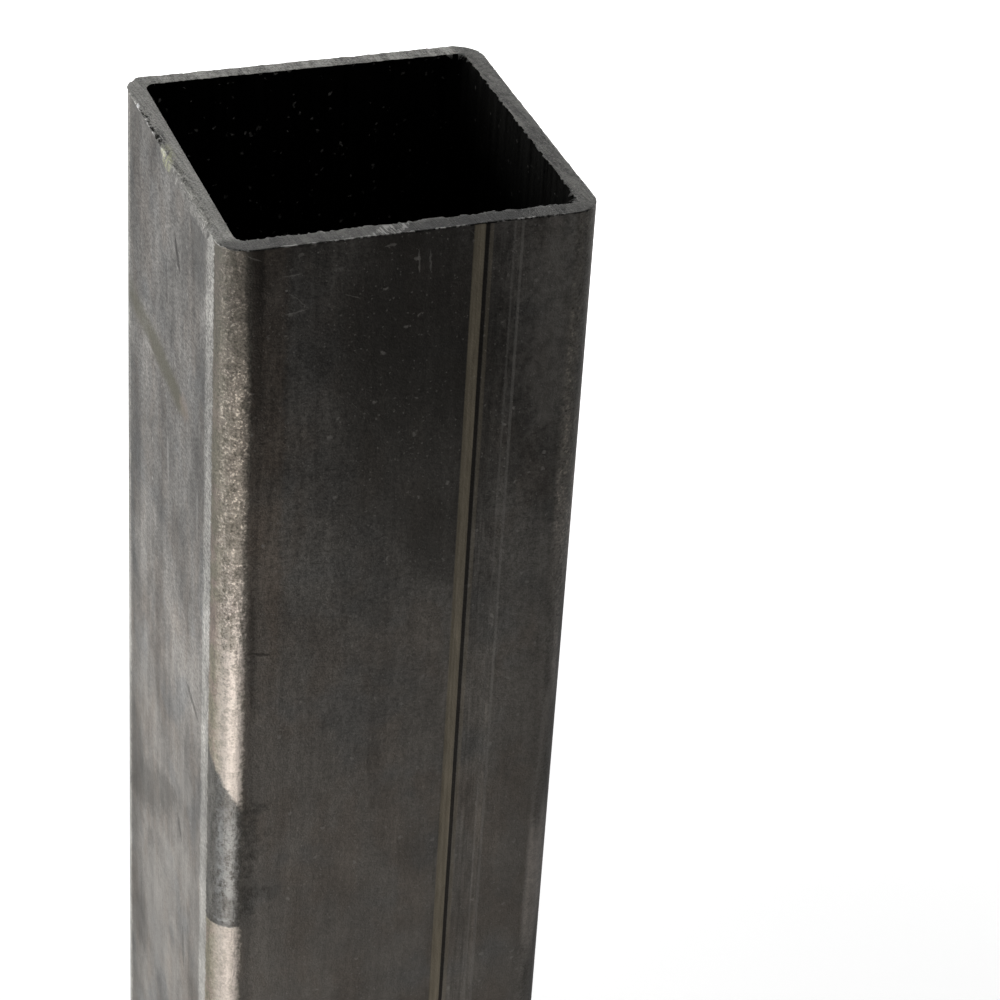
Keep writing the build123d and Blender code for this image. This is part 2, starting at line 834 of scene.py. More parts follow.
def new_group(name: str, takes: dict[str, str], gives: dict[str, str]) -> tuple[Board, dict, dict]:
    """An empty shader node group.

    Args:
        name: Its name.
        takes: Inputs, each a name and Float, Vector or Color.
        gives: Outputs, in the same way.

    Returns:
        The board to draw on, the sockets that bring the inputs and those that take the outputs.
    """
    tree = bpy.data.node_groups.new(name, "ShaderNodeTree")
    for label, kind in takes.items():
        tree.interface.new_socket(name=label, in_out="INPUT", socket_type=f"NodeSocket{kind}")
    for label, kind in gives.items():
        tree.interface.new_socket(name=label, in_out="OUTPUT", socket_type=f"NodeSocket{kind}")
    start, end = tree.nodes.new("NodeGroupInput"), tree.nodes.new("NodeGroupOutput")
    sources = {label: start.outputs[label] for label in takes}
    sinks = {label: end.inputs[label] for label in gives}
    return Board(tree), sources, sinks


class Effects:
    """The node groups that several finishes share, each built once."""

    def __init__(self, section: Section) -> None:
        """Builds every group.

        Args:
            section: The tube's section, for where its bends are.
        """
        self.section = section
        self.unrolled = self.make_unrolled()
        self.streaks = self.make_streaks()
        self.grain = self.make_grain()
        self.specks = self.make_specks()
        self.scuffs = self.make_scuffs()
        self.mark = self.make_mark()

    def make_unrolled(self) -> bpy.types.NodeTree:
        """Where a point lies on the tube laid flat.

        Returns:
            The group. Place is the way round from the front left bend, the height, and 1 on the left
            and front walls. Near is the same 1, and Bend is 1 in the bends.
        """
        gives = {"Place": "Vector", "Near": "Float", "Bend": "Float"}
        board, take, give = new_group("Unrolled", {"Position": "Vector"}, gives)
        x, y, z = board.split(take["Position"])
        near = board.math("LESS_THAN", board.plus(x, y), 0.0)
        board.feed(give["Place"], board.joined(board.math("SUBTRACT", x, y), z, near))
        board.feed(give["Near"], near)
        corner = board.math("MINIMUM", board.math("ABSOLUTE", x), board.math("ABSOLUTE", y))
        tangent = self.section.flat
        board.feed(give["Bend"], board.fade(corner, tangent - 1.0 * MM, tangent + 1.5 * MM))
        return board.tree

    def make_streaks(self) -> bpy.types.NodeTree:
        """Long marks of the rolls, up and down the tube.

        Returns:
            The group. Mask rises from 0 to 1 where the noise goes from Low to High.
        """
        takes = {"Position": "Vector", "Width": "Float", "Length": "Float", "Low": "Float", "High": "Float"}
        board, take, give = new_group("Roll streaks", takes, {"Mask": "Float"})
        fine = board.math("DIVIDE", 1.0, take["Width"])
        stretch = board.joined(fine, fine, board.math("DIVIDE", 1.0, take["Length"]))
        value = board.noise(board.vector("MULTIPLY", take["Position"], stretch), 1.0, 2.0, 0.55)
        board.feed(give["Mask"], board.fade(value, take["Low"], take["High"]))
        return board.tree

    def make_grain(self) -> bpy.types.NodeTree:
        """Spots and blotches of one size.

        Returns:
            The group. Mask rises from 0 to 1 where the noise goes from Low to High.
        """
        takes = {"Position": "Vector", "Size": "Float", "Low": "Float", "High": "Float"}
        board, take, give = new_group("Grain", takes, {"Mask": "Float"})
        value = board.noise(take["Position"], board.math("DIVIDE", 1.0, take["Size"]), 3.0, 0.6)
        board.feed(give["Mask"], board.fade(value, take["Low"], take["High"]))
        return board.tree

    def make_specks(self) -> bpy.types.NodeTree:
        """Small separate dots of uneven size.

        Returns:
            The group. Mask is 1 on the dots, and Cover is the share of the cells that have one.
        """
        takes = {"Position": "Vector", "Size": "Float", "Cover": "Float"}
        board, take, give = new_group("Specks", takes, {"Mask": "Float"})
        jitter = board.add("ShaderNodeTexNoise")
        board.feed(jitter.inputs["Vector"], take["Position"])
        board.feed(jitter.inputs["Scale"], board.math("DIVIDE", 1.3, take["Size"]))
        shift = board.vector("SUBTRACT", jitter.outputs["Color"], (0.5, 0.5, 0.5))
        place = board.vector("ADD", take["Position"], board.scaled(shift, board.times(take["Size"], 1.1)))
        cells = board.add("ShaderNodeTexVoronoi")
        board.feed(cells.inputs["Vector"], place)
        board.feed(cells.inputs["Scale"], board.math("DIVIDE", 1.0, take["Size"]))
        draw = board.add("ShaderNodeSeparateColor")
        board.feed(draw.inputs[0], cells.outputs["Color"])
        kept = board.math("LESS_THAN", draw.outputs[0], take["Cover"])
        reach = board.line(draw.outputs[1], 0.35, 0.15)
        dot = board.fade(cells.outputs["Distance"], reach, board.times(reach, 0.4))
        board.feed(give["Mask"], board.times(dot, kept))
        return board.tree

    def make_scuffs(self) -> bpy.types.NodeTree:
        """Short scratches across the walls, all leaned one way.

        Returns:
            The group. Mask rises from 0 to 1 where the noise goes from Low to High.
        """
        takes = {"Place": "Vector"} | dict.fromkeys(("Lean", "Width", "Length", "Low", "High"), "Float")
        board, take, give = new_group("Scuffs", takes, {"Mask": "Float"})
        turned = board.add("ShaderNodeVectorRotate", rotation_type="Z_AXIS")
        board.feed(turned.inputs["Vector"], take["Place"])
        board.feed(turned.inputs["Angle"], board.times(take["Lean"], -1.0))
        across, along = (board.math("DIVIDE", 1.0, take[name]) for name in ("Length", "Width"))
        stretch = board.joined(across, along, 7.0)
        value = board.noise(board.vector("MULTIPLY", turned.outputs[0], stretch), 1.0, 1.0, 0.5)
        board.feed(give["Mask"], board.fade(value, take["Low"], take["High"]))
        return board.tree

    def make_mark(self) -> bpy.types.NodeTree:
        """One rub or scratch in a straight line, broken up and worn thin at its ends.

        Returns:
            The group. Mask is 1 on the line.
        """
        takes = dict.fromkeys(("Place", "Shake", "Start", "End"), "Vector")
        takes |= dict.fromkeys(("Width", "Wander"), "Float")
        board, take, give = new_group("Rub mark", takes, {"Mask": "Float"})
        place = board.vector("ADD", take["Place"], board.scaled(take["Shake"], take["Wander"]))
        reach = board.vector("SUBTRACT", take["End"], take["Start"])
        apart = board.vector("SUBTRACT", place, take["Start"])
        squared = board.vector("DOT_PRODUCT", reach, reach)
        share = board.math("DIVIDE", board.vector("DOT_PRODUCT", apart, reach), squared)
        held = board.math("MINIMUM", board.math("MAXIMUM", share, 0.0), 1.0)
        aside = board.vector("SUBTRACT", apart, board.scaled(reach, held))
        flat = board.vector("MULTIPLY", aside, (1.0, 1.0, 0.0))
        off_middle = board.math("ABSOLUTE", board.plus(held, -0.5))
        thin = board.times(take["Width"], board.fade(off_middle, 0.5, 0.25, 0.35, 1.0))
        board.feed(give["Mask"], board.fade(board.vector("LENGTH", flat), thin, board.times(thin, 0.3)))
        return board.tree


class Tone(Enum):
    """What a mark does to the metal under it."""

    DARK = "dark"
    PALE = "pale"
    OIL = "oil"
    RUST = "rust"
    SHADE = "shade"
    LIGHT = "light"


@dataclass(frozen=True)
class Mark:
    """A rub or scratch on the left or front wall, from one place to another, in millimetres.

    A place is the way round from the front left bend, and the height.
    """

    start: tuple[float, float]
    end: tuple[float, float]
    width: float  # from its middle to its edge
    tone: Tone
    strength: float = 1.0
    wander: float = 0.6


@dataclass(frozen=True)
class Layer:
    """What every part of a finish is painted with: a board, the shared groups and the place.

    The sockets are in metres, and the lengths that its methods take are in millimetres.
    """

    board: Board
    effects: Effects
    position: Socket
    place: Socket
    around: Socket
    ragged: Socket
    height: Socket
    near: Socket
    bend: Socket

    @classmethod
    def over(cls, board: Board, effects: Effects, position: Socket) -> "Layer":
        """Sets up the layer on a material's board.

        Args:
            board: The board.
            effects: The shared node groups.
            position: The object's own coordinates.

        Returns:
            The layer.
        """
        place, near, bend = board.group(effects.unrolled, Position=position).outputs
        around, height, _ = board.split(place)
        grain = board.group(effects.grain, Position=position, Size=1.3 * MM, Low=0.2, High=0.8)
        ragged = board.line(board.plus(grain.outputs[0], -0.5), 1.4 * MM, around)
        return cls(board, effects, position, place, around, ragged, height, near, bend)

    def step(self, line: Socket, start: float, end: float, low: float = 0.0, high: float = 1.0) -> Socket:
        """A smooth step along a line of places."""
        return self.board.fade(line, start * MM, end * MM, low, high)

    def stretch(self, line: Socket, start: float, end: float, ramp: float) -> Socket:
        """1 from start to end along a line of places, falling to 0 over the ramp outside them."""
        return self.board.band(line, start * MM, end * MM, ramp * MM)

    def lane(self, start: float, end: float, ramp: float, straight: bool = False) -> Socket:
        """1 from start to end round the left and front walls, with ragged edges unless straight."""
        around = self.around if straight else self.ragged
        return self.board.times(self.stretch(around, start, end, ramp), self.near)

    def specks(self, size: float, cover: float) -> Socket:
        """Separate dots, the size apart, with one at the cover's share of the places."""
        group = self.effects.specks
        return self.board.group(group, Position=self.position, Size=size * MM, Cover=cover).outputs[0]

    def streaks(self, width: float, length: float, low: float = 0.3, high: float = 0.7) -> Socket:
        """Marks of the rolls up and down the tube, 0 where their noise is low and 1 where it is high."""
        group, sizes = self.effects.streaks, {"Width": width * MM, "Length": length * MM}
        return self.board.group(group, Position=self.position, **sizes, Low=low, High=high).outputs[0]

    def grain(self, size: float, low: float = 0.3, high: float = 0.7) -> Socket:
        """Spots or clouds of one size, 0 where their noise is low and 1 where it is high."""
        group, limits = self.effects.grain, {"Low": low, "High": high}
        return self.board.group(group, Position=self.position, Size=size * MM, **limits).outputs[0]

    def scuffs(self, lean: float, width: float, length: float, low: float, high: float) -> Socket:
        """Short scratches that all lean one way.

        Args:
            lean: Their angle from level, in degrees.
            width: Width of a scratch.
            length: Length of a scratch.
            low: Noise that gives 0.
            high: Noise that gives 1.

        Returns:
            The mask.
        """
        group = self.effects.scuffs
        sizes = {"Lean": math.radians(lean), "Width": width * MM, "Length": length * MM}
        return self.board.group(group, Place=self.place, **sizes, Low=low, High=high).outputs[0]

    def mark(self, mark: Mark, shake: Socket) -> Socket:
        """The mask of one mark, at its strength.

        Args:
            mark: The mark.
            shake: Noise that it wanders by.

        Returns:
            The mask.
        """
        node = self.board.group(
            self.effects.mark,
            Place=self.place,
            Shake=shake,
            Start=(mark.start[0] * MM, mark.start[1] * MM, 0.0),
            End=(mark.end[0] * MM, mark.end[1] * MM, 0.0),
            Width=mark.width * MM,
            Wander=mark.wander * MM,
        )
        return self.board.times(node.outputs[0], self.board.times(self.near, mark.strength))

    def marks(self, marks: tuple[Mark, ...], tone: Tone) -> Socket:
        """All marks of one tone in one mask.

        Args:
            marks: Every mark.
            tone: The tone wanted.

        Returns:
            The mask.
        """
        noise_node = self.board.add("ShaderNodeTexNoise")
        self.board.feed(noise_node.inputs["Vector"], self.place)
        noise_node.inputs["Scale"].default_value = SHAKE_SCALE
        shake = self.board.vector("SUBTRACT", noise_node.outputs["Color"], (0.5, 0.5, 0.5))
        return self.board.most(*[self.mark(mark, shake) for mark in marks if mark.tone is tone])

    def swing(self, *parts: tuple[Socket, float]) -> Socket:
        """A brightness around 1 that masks raise and lower.

        Args:
            parts: Each a mask and how much the whole of it adds.

        Returns:
            The brightness.
        """
        total = 1.0
        for mask, amount in parts:
            total = self.board.line(self.board.plus(mask, -0.5), amount, total)
        return total


def blank_board(owner: bpy.types.Material | bpy.types.World) -> Board:
    """A board for the nodes of a material or the world, with none on it yet.

    Args:
        owner: The material or world.

    Returns:
        The board.
    """
    owner.use_nodes = True
    owner.node_tree.nodes.clear()
    return Board(owner.node_tree)


def new_material(name: str, effects: Effects) -> tuple[bpy.types.Material, Layer, bpy.types.Node]:
    """A material with an empty Principled shader.

    Args:
        name: Its name.
        effects: The shared node groups.

    Returns:
        The material, the layer to paint with and the shader.
    """
    material = bpy.data.materials.new(name)
    board = blank_board(material)
    shader = board.add("ShaderNodeBsdfPrincipled")
    out = board.add("ShaderNodeOutputMaterial")
    board.feed(out.inputs["Surface"], shader.outputs[0])
    position = board.add("ShaderNodeTexCoord").outputs["Object"]
    return material, Layer.over(board, effects, position), shader


@dataclass(frozen=True)
class Surface:
    """Shader settings that are the same all over a finish."""

    metallic: float
    roughness: float
    relief: float  # how strongly the relief shows, from 0 to 1
    relief_height: float
    specular: float = 0.5

    def apply(
        self, board: Board, shader: bpy.types.Node, colour: Socket, rough: Socket, height: Socket
    ) -> None:
        """Sets the shader up.

        Args:
            board: The material's board.
            shader: Its Principled shader.
            colour: The colour.
            rough: What the roughness is multiplied by.
            height: Mask that stands up as relief.
        """
        shader.inputs["Metallic"].default_value = self.metallic
        shader.inputs["Specular IOR Level"].default_value = self.specular
        bump = board.add("ShaderNodeBump")
        bump.inputs["Strength"].default_value = self.relief
        bump.inputs["Distance"].default_value = self.relief_height
        board.feed(bump.inputs["Height"], height)
        board.feed(shader.inputs["Base Color"], colour)
        board.feed(shader.inputs["Roughness"], board.times(rough, self.roughness))
        board.feed(shader.inputs["Normal"], bump.outputs[0])


@dataclass(frozen=True)
class Wear:
    """Masks that several parts of the rolled finish share."""

    wide: Socket
    fine: Socket
    grain: Socket
    grit: Socket
    front: Socket  # 1 on the welded wall

    @classmethod
    def over(cls, layer: Layer) -> "Wear":
        """Paints the masks.

        Args:
            layer: The layer.

        Returns:
            The masks.
        """
        return cls(
            wide=layer.streaks(4.0, 70),
            fine=layer.streaks(1.6, 9),
            grain=layer.grain(0.55, 0.35, 0.65),
            grit=layer.streaks(1.2, 0.5),
            front=layer.lane(6, 99, 3),
        )


# Handling marks on the left and front walls.
MARKS = (
    # The oily smear across the left wall, and its rusty tip.
    Mark((-102, 441), (-78, 440), 7.0, Tone.OIL, 0.45, 2.5),
    Mark((-90, 440), (-64, 439), 5.5, Tone.OIL, 0.7, 2.0),
    Mark((-72, 439), (-50, 437), 6.2, Tone.OIL, 0.85, 2.4),
    Mark((-60, 438), (-34, 434.6), 5.6, Tone.OIL, 0.85, 2.4),
    Mark((-38, 436.2), (-31, 435.4), 5.6, Tone.RUST, 0.34, 4.0),
    # Wide darker and lighter clouds. The two darker ones on the welded wall are painted shadow of the tubes
    # that stood beside it.
    Mark((-90, 272), (-42, 303), 11, Tone.SHADE, 0.5, 8),
    Mark((-22, 500), (-19, 478), 11, Tone.SHADE, 0.35, 5),
    Mark((46, 505), (60, 400), 32, Tone.SHADE, 0.62, 8),
    Mark((38, 420), (44, 385), 18, Tone.SHADE, 0.3, 8),
    Mark((-66, 262), (-60, 225), 14, Tone.LIGHT, 0.2, 10),
    Mark((-38, 312), (-24, 318), 9, Tone.LIGHT, 0.22, 8),
    Mark((87, 500), (87, 440), 9, Tone.LIGHT, 0.24, 6),
    # Dark scratches.
    Mark((-44.6, 481.6), (-39.8, 473.2), 1.9, Tone.DARK, 0.75, 0.9),
    Mark((-30.4, 498), (-28.4, 491), 1.9, Tone.DARK, 0.35, 1.2),
    Mark((-52.9, 470), (-52.1, 457), 1.3, Tone.DARK, 0.4, 1.0),
    Mark((-30, 351), (-17.5, 346.5), 1.6, Tone.DARK, 0.45, 1.2),
    Mark((-38.4, 299), (-34, 292.5), 1.8, Tone.DARK, 0.45, 1.2),
    Mark((-32, 262), (-31, 249), 1.8, Tone.DARK, 0.35, 1.2),
    Mark((8.5, 379.5), (14.5, 378), 0.7, Tone.DARK, 0.6, 1.6),
    Mark((9.3, 400), (9.6, 362), 1.2, Tone.DARK, 0.35, 2.6),
    # Pale rubs on the left wall.
    Mark((-72.3, 434.3), (-66, 434.5), 0.8, Tone.PALE, 0.35),
    Mark((-51, 417), (-50, 404), 1.5, Tone.PALE, 0.3),
    Mark((-21, 420), (-20.5, 402), 1.2, Tone.PALE, 0.25),
    # Pale nicks and scratches under the cut on the front wall.
    Mark((6.3, 498.2), (9.8, 496.6), 0.35, Tone.PALE, 0.3, 1.2),
    Mark((15.4, 491.5), (20.5, 491.7), 0.3, Tone.PALE, 0.38, 0.7),
    Mark((16.2, 487.6), (16.7, 487.4), 0.45, Tone.PALE, 0.75, 0.2),
    Mark((16.2, 474.8), (16.8, 474.5), 0.5, Tone.PALE, 0.4, 0.4),
    Mark((16.4, 480.6), (21.9, 481.5), 0.3, Tone.PALE, 0.38, 1.0),
    Mark((16.8, 487.0), (22.4, 481.6), 0.25, Tone.PALE, 0.34, 1.2),
    Mark((19.4, 496.7), (20.8, 497.5), 0.8, Tone.PALE, 0.36, 1.0),
    Mark((24.1, 497.3), (24.5, 497.1), 0.35, Tone.PALE, 0.6, 0.2),
    Mark((26.4, 470.2), (27.0, 470.2), 0.5, Tone.PALE, 0.35, 0.4),
    Mark((28.6, 491.6), (31.4, 492.2), 0.9, Tone.PALE, 0.24, 1.6),
    Mark((31.0, 499.2), (31.3, 499.0), 0.3, Tone.PALE, 0.5, 0.2),
    Mark((31.6, 484.4), (35.5, 482.9), 0.25, Tone.PALE, 0.28, 0.8),
    Mark((41.6, 496.6), (44.6, 497.1), 0.5, Tone.PALE, 0.4, 1.0),
    Mark((50.5, 494.6), (50.8, 488.2), 0.35, Tone.PALE, 0.4, 1.0),
    Mark((53.4, 494.2), (54.0, 487.7), 0.35, Tone.PALE, 0.36, 1.0),
)

# How much of a bend the rolls rub bright, with a painted reflection of the floor that is brighter lower
# down, and how bright the scale under it is, darker towards the top as painted shade, by share of the
# length.
RUB_AND_REFLECTION_BELOW = {0.0: 0.78, 0.55: 0.8, 0.6: 0.84, 0.69: 0.86, 0.735: 0.68, 0.784: 0.43}
RUB_AND_REFLECTION_ABOVE = {0.826: 0.34, 0.868: 0.3, 0.904: 0.28, 0.932: 0.22, 0.956: 0.13, 1.0: 0.1}
RUB_AND_REFLECTION = RUB_AND_REFLECTION_BELOW | RUB_AND_REFLECTION_ABOVE
UNDER_SHADE = {0.0: 1.0, 0.69: 1.12, 0.735: 0.98, 0.784: 0.76, 0.83: 0.64, 0.9: 0.52, 0.956: 0.38, 1.0: 0.3}


@dataclass(frozen=True)
class RolledSteel:
    """Outside of the tube: grey rolling scale, streaked lengthwise, burnished in the bends, with painted
    highlights, reflections and shade.
    """

    length: float
    section: Section
    surface: Surface = Surface(metallic=0.5, roughness=0.4, relief=0.6, relief_height=0.06 * MM)
    scale: Colour = (0.262, 0.254, 0.239)
    brown: Colour = (0.242, 0.212, 0.184)
    blue: Colour = (0.2, 0.208, 0.21)
    olive: Colour = (0.22, 0.203, 0.152)
    rose: Colour = (0.27, 0.213, 0.188)
    umber: Colour = (0.05, 0.044, 0.036)
    warm: Colour = (1.04, 0.95, 0.88)
    # Bright colours of the ridge: metal the rolls rub, with a painted reflection.
    cream_highlight: Colour = (0.8, 0.74, 0.69)
    butter_highlight: Colour = (0.81, 0.735, 0.62)
    # White of the painted glints on the ridge.
    white: Colour = (0.78, 0.75, 0.66)
    # Pale grey of the painted highlights on the left wall.
    facet_highlight: Colour = (0.46, 0.453, 0.425)
    # Greys of the painted dark reflection on the front left bend.
    reflected_grey: Colour = (0.122, 0.12, 0.112)
    reflected_mist: Colour = (0.342, 0.355, 0.357)
    gold: Colour = (0.43, 0.38, 0.285)
    # Very dark colour of scratches and the weld groove, and of painted shade on the welded wall.
    soot_and_shade: Colour = (0.017, 0.0145, 0.0125)
    oil: Colour = (0.105, 0.1, 0.07)
    rust: Colour = (0.31, 0.25, 0.21)
    pale: Colour = (0.45, 0.44, 0.42)
    # Dark grey of the darker clouds, and of painted shadow and shade on the welded wall.
    smoke: Colour = (0.08, 0.077, 0.07)
    bare: Colour = (0.45, 0.435, 0.41)

    def build(self, effects: Effects) -> bpy.types.Material:
        """Makes the material.

        Args:
            effects: The shared node groups.

        Returns:
            The material.
        """
        material, layer, shader = new_material("rolled_steel", effects)
        wear = Wear.over(layer)
        colour = layer.board.scaled(self.scale_tones(layer, wear), self.wall_level(layer, wear))
        colour = self.front_tones(layer, wear, colour)
        colour = self.weld_strip(layer, wear, colour)
        colour, burnish = self.bends(layer, wear, colour)
        colour = self.reflected_spot(layer, wear, colour)
        colour = self.rubs(layer, colour)
        rough = layer.swing((wear.fine, 0.1), (wear.grain, 0.14), (burnish, -0.3))
        relief = layer.board.plus(layer.board.times(wear.fine, 0.6), wear.grain)
        self.surface.apply(layer.board, shader, colour, rough, relief)
        return material

    def scale_tones(self, layer: Layer, wear: Wear) -> Socket:
        """Colour of the scale on the flat walls: grey with clouds of brown and blue, and pale lines: a
        roll-rubbed strip by the front left bend that also carries a painted highlight, and a painted
        highlight on the edge of the back left bend.

        Args:
            layer: The layer.
            wear: The shared masks.

        Returns:
            The colour.
        """
        board = layer.board
        aged = layer.step(layer.height, 400, 350)
        rusty = board.times(layer.streaks(9, 20, 0.45, 0.65), 0.4)
        colour = board.tint(board.line(aged, 0.2, rusty), self.scale, self.brown)
        colour = board.paint(colour, self.blue, layer.grain(23, 0.5, 0.68), 0.5)
        # Painted highlights: the roll-rubbed strip by the front left bend, and the rim of the back left
        # bend.
        facet_highlight = board.times(layer.lane(-13.4, -8.0, 1.5), board.line(wear.grit, 0.4, 0.55))
        rim = board.times(layer.lane(-93.5, -91, 0.8), 0.8)
        return board.tint(board.most(facet_highlight, rim), colour, self.facet_highlight)

    def wall_level(self, layer: Layer, wear: Wear) -> Socket:
        """Brightness of the flat walls: streaks, dashes and clouds, calmer lower down, with painted shade
        towards the top and on the welded wall.

        Args:
            layer: The layer.
            wear: The shared masks.

        Returns:
            The brightness, around 1.
        """
        board, front = layer.board, wear.front
        crisp = layer.step(layer.height, 270, 470, 0.35, 1.0)
        crisp = board.times(crisp, board.gain(front, -0.12))
        dents = layer.grain(1.5, 0.35, 0.65)
        side_marks = layer.swing((wear.fine, 0.2), (wear.grit, 0.75), (wear.grain, 0.3))
        front_marks = layer.swing((wear.fine, 0.26), (wear.grit, 0.35), (wear.grain, 0.42), (dents, 0.3))
        marks = board.eased(board.tint(front, side_marks, front_marks), crisp)
        cloud = layer.streaks(18, 28, 0.35, 0.65)
        smoke = layer.grain(30, 0.35, 0.65)
        blotch = layer.grain(6, 0.35, 0.65)
        lanes = layer.swing((wear.wide, 0.22), (cloud, 0.34), (smoke, 0.28), (blotch, 0.14))
        calm = board.times(front, layer.step(layer.height, 440, 370, 0.0, 0.55))
        level = board.times(board.tint(calm, lanes, (1.0, 1.0, 1.0)), marks)
        # Painted shade: the walls other than the welded one darker towards the top.
        upper_shade = board.times(layer.step(layer.height, 362, 402), board.rest(front))
        inner = board.times(layer.lane(-27, -17, 3), layer.step(layer.height, 380, 420))
        for darker, amount in ((upper_shade, -0.32), (layer.lane(-88, -81, 4), -0.24), (inner, -0.14)):
            level = board.times(level, board.gain(darker, amount))
        return self.front_shading(layer, front, level)

    def front_shading(self, layer: Layer, front: Socket, level: Socket) -> Socket:
        """Painted shade on the welded wall: darkest a little below the cut, lighter by the bend and darker
        towards the right, where tubes beside it shaded it.

        Args:
            layer: The layer.
            front: 1 on the welded wall.
            level: The brightness of every wall.

        Returns:
            The brightness.
        """
        board = layer.board
        # Painted shade, darkest a little below the cut.
        lower = layer.step(layer.height, 440, 365, 0.0, 0.14)
        lower = board.math("SUBTRACT", layer.step(layer.height, 492, 465, 0.0, 0.22), lower)
        level = board.times(level, board.rest(board.times(front, lower)))
        # Painted shadow of the tubes beside it: lighter by the bend, darker towards the right.
        side_shade = board.times(layer.lane(8, 46, 6), layer.step(layer.height, 420, 450))
        side_shade = board.times(side_shade, layer.step(layer.around, 12, 38, 0.12, -0.14))
        return board.times(level, board.plus(side_shade, 1.0))

    def front_tones(self, layer: Layer, wear: Wear, colour: Socket) -> Socket:
        """Clouds, painted shade and warm and bare metal, mostly on the welded wall, and specks on every
        wall.

        Args:
            layer: The layer.
            wear: The shared masks.
            colour: The colour under them.

        Returns:
            The colour.
        """
        board, height = layer.board, layer.height
        right = board.times(layer.lane(74, 99, 3), layer.step(height, 400, 495, 0.0, 0.36))
        colour = board.paint(colour, self.bare, right, layer.grain(3, 0.38, 0.66))
        # Darker clouds; on the welded wall they are painted shadow of the tubes that stood beside it.
        colour = board.paint(colour, self.smoke, layer.marks(MARKS, Tone.SHADE))
        colour = board.paint(colour, self.bare, layer.marks(MARKS, Tone.LIGHT))
        # Painted shade: the welded wall darker towards the top, less so by the right bend.
        soot_and_shade = board.times(layer.step(height, 375, 505), wear.front)
        soot_and_shade = board.times(soot_and_shade, layer.step(layer.around, 74, 93, 1.0, 0.3))
        colour = board.paint(colour, self.soot_and_shade, soot_and_shade, 0.6)
        warm = board.times(layer.lane(8.5, 15.5, 2.5), layer.step(height, 320, 430))
        colour = board.tint(warm, colour, self.warm, "MULTIPLY")
        gap = layer.step(height, 440, 495, 0.22, 0.6)
        colour = board.paint(colour, self.soot_and_shade, gap, layer.lane(8.2, 10.3, 0.9))
        specks = board.most(
            layer.specks(1.9, 0.035),
            board.times(layer.specks(0.8, 0.13), 0.75),
            board.times(layer.scuffs(14, 0.3, 4, 0.73, 0.8), 0.7),
            board.times(layer.scuffs(-48, 0.3, 5, 0.74, 0.8), 0.7),
        )
        return board.paint(colour, self.pale, specks, 0.5)

    def weld_strip(self, layer: Layer, wear: Wear, colour: Socket) -> Socket:
        """Planed strip over the weld: a heat-tinted edge, a dark groove and two bright lines.

        Args:
            layer: The layer.
            wear: The shared masks.
            colour: The colour under it.

        Returns:
            The colour.
        """
        board = layer.board
        seam = (self.section.seam + self.section.half) / MM
        edge = self.section.strip_width / 2.0 / MM
        level = layer.swing((layer.streaks(0.8, 60), 0.3), (wear.fine, 0.2))
        planed = layer.lane(seam - edge, seam + edge, 0.8, True)
        colour = board.paint(colour, board.scaled(colour, level), planed)
        heated = layer.lane(seam - 5.9, seam - 3.5, 0.5, True)
        colour = board.paint(colour, board.scaled(self.gold, level), heated, 0.75)
        groove = layer.lane(seam - 3.1, seam - 2.3, 0.25, True)
        colour = board.paint(colour, self.soot_and_shade, groove, 0.85)
        rusty = layer.lane(seam - 1.9, seam - 1.2, 0.35, True)
        colour = board.paint(colour, self.gold, rusty, 0.28)
        inner_line = board.times(layer.lane(seam + 4.5, seam + 4.8, 0.3, True), 0.7)
        outer_line = layer.lane(seam + 6.6, seam + 7.1, 0.3, True)
        return board.paint(colour, self.pale, board.most(inner_line, outer_line), 0.3)

    def bends(self, layer: Layer, wear: Wear, colour: Socket) -> tuple[Socket, Socket]:
        """Bends that the rolls rub: olive scale, broken by bright crumbs that join lower down, with a
        painted reflection and painted glints on the ridge and painted shade towards the top.

        Args:
            layer: The layer.
            wear: The shared masks.
            colour: The colour under them.

        Returns:
            The colour, and how much the metal is burnished.
        """
        board, height, ragged = layer.board, layer.height, layer.ragged
        share = board.math("DIVIDE", height, self.length)
        rub_and_reflection = board.curve(share, RUB_AND_REFLECTION)
        near = board.times(layer.near, layer.step(layer.around, 60, 50))
        far = board.times(layer.bend, board.rest(near))
        zone = board.most(layer.lane(-6.9, 7.5, 0.9), far)

        # The ridge that the rolls rub, which also carries a painted reflection, a little narrower towards
        # the cut.
        end = layer.step(height, 455, 495, 7.7 * MM, 6.2 * MM)
        rise = layer.step(ragged, -4.8, 0.4)
        fall = board.fade(ragged, board.plus(end, 0.5 * MM), board.plus(end, -1.2 * MM))
        ridge = board.times(rise, fall, layer.near)
        far_ridge = board.times(layer.streaks(9, 60, 0.35, 0.65), board.times(far, 0.85))
        ridge = board.most(ridge, far_ridge)

        # Bright crumbs on it, with painted glints.
        crumbs = layer.grain(0.75, 0.3, 0.7)
        patches = layer.grain(3.0, 0.35, 0.65)
        rolled = layer.streaks(1.6, 12)
        uneven = layer.swing((wear.grain, 0.4), (crumbs, 0.6), (patches, 0.7), (rolled, 0.6))
        uneven = board.eased(uneven, layer.step(height, 330, 400, 0.45, 1.0))
        glints = board.times(board.fade(crumbs, 0.66, 0.95), layer.step(height, 345, 400, 0.2, 2.2))
        glints = board.times(glints, board.fade(patches, 0.35, 0.9))
        shine = board.times(board.plus(uneven, glints), rub_and_reflection)
        ridge_highlight = board.times(ridge, board.math("MINIMUM", shine, 1.0))

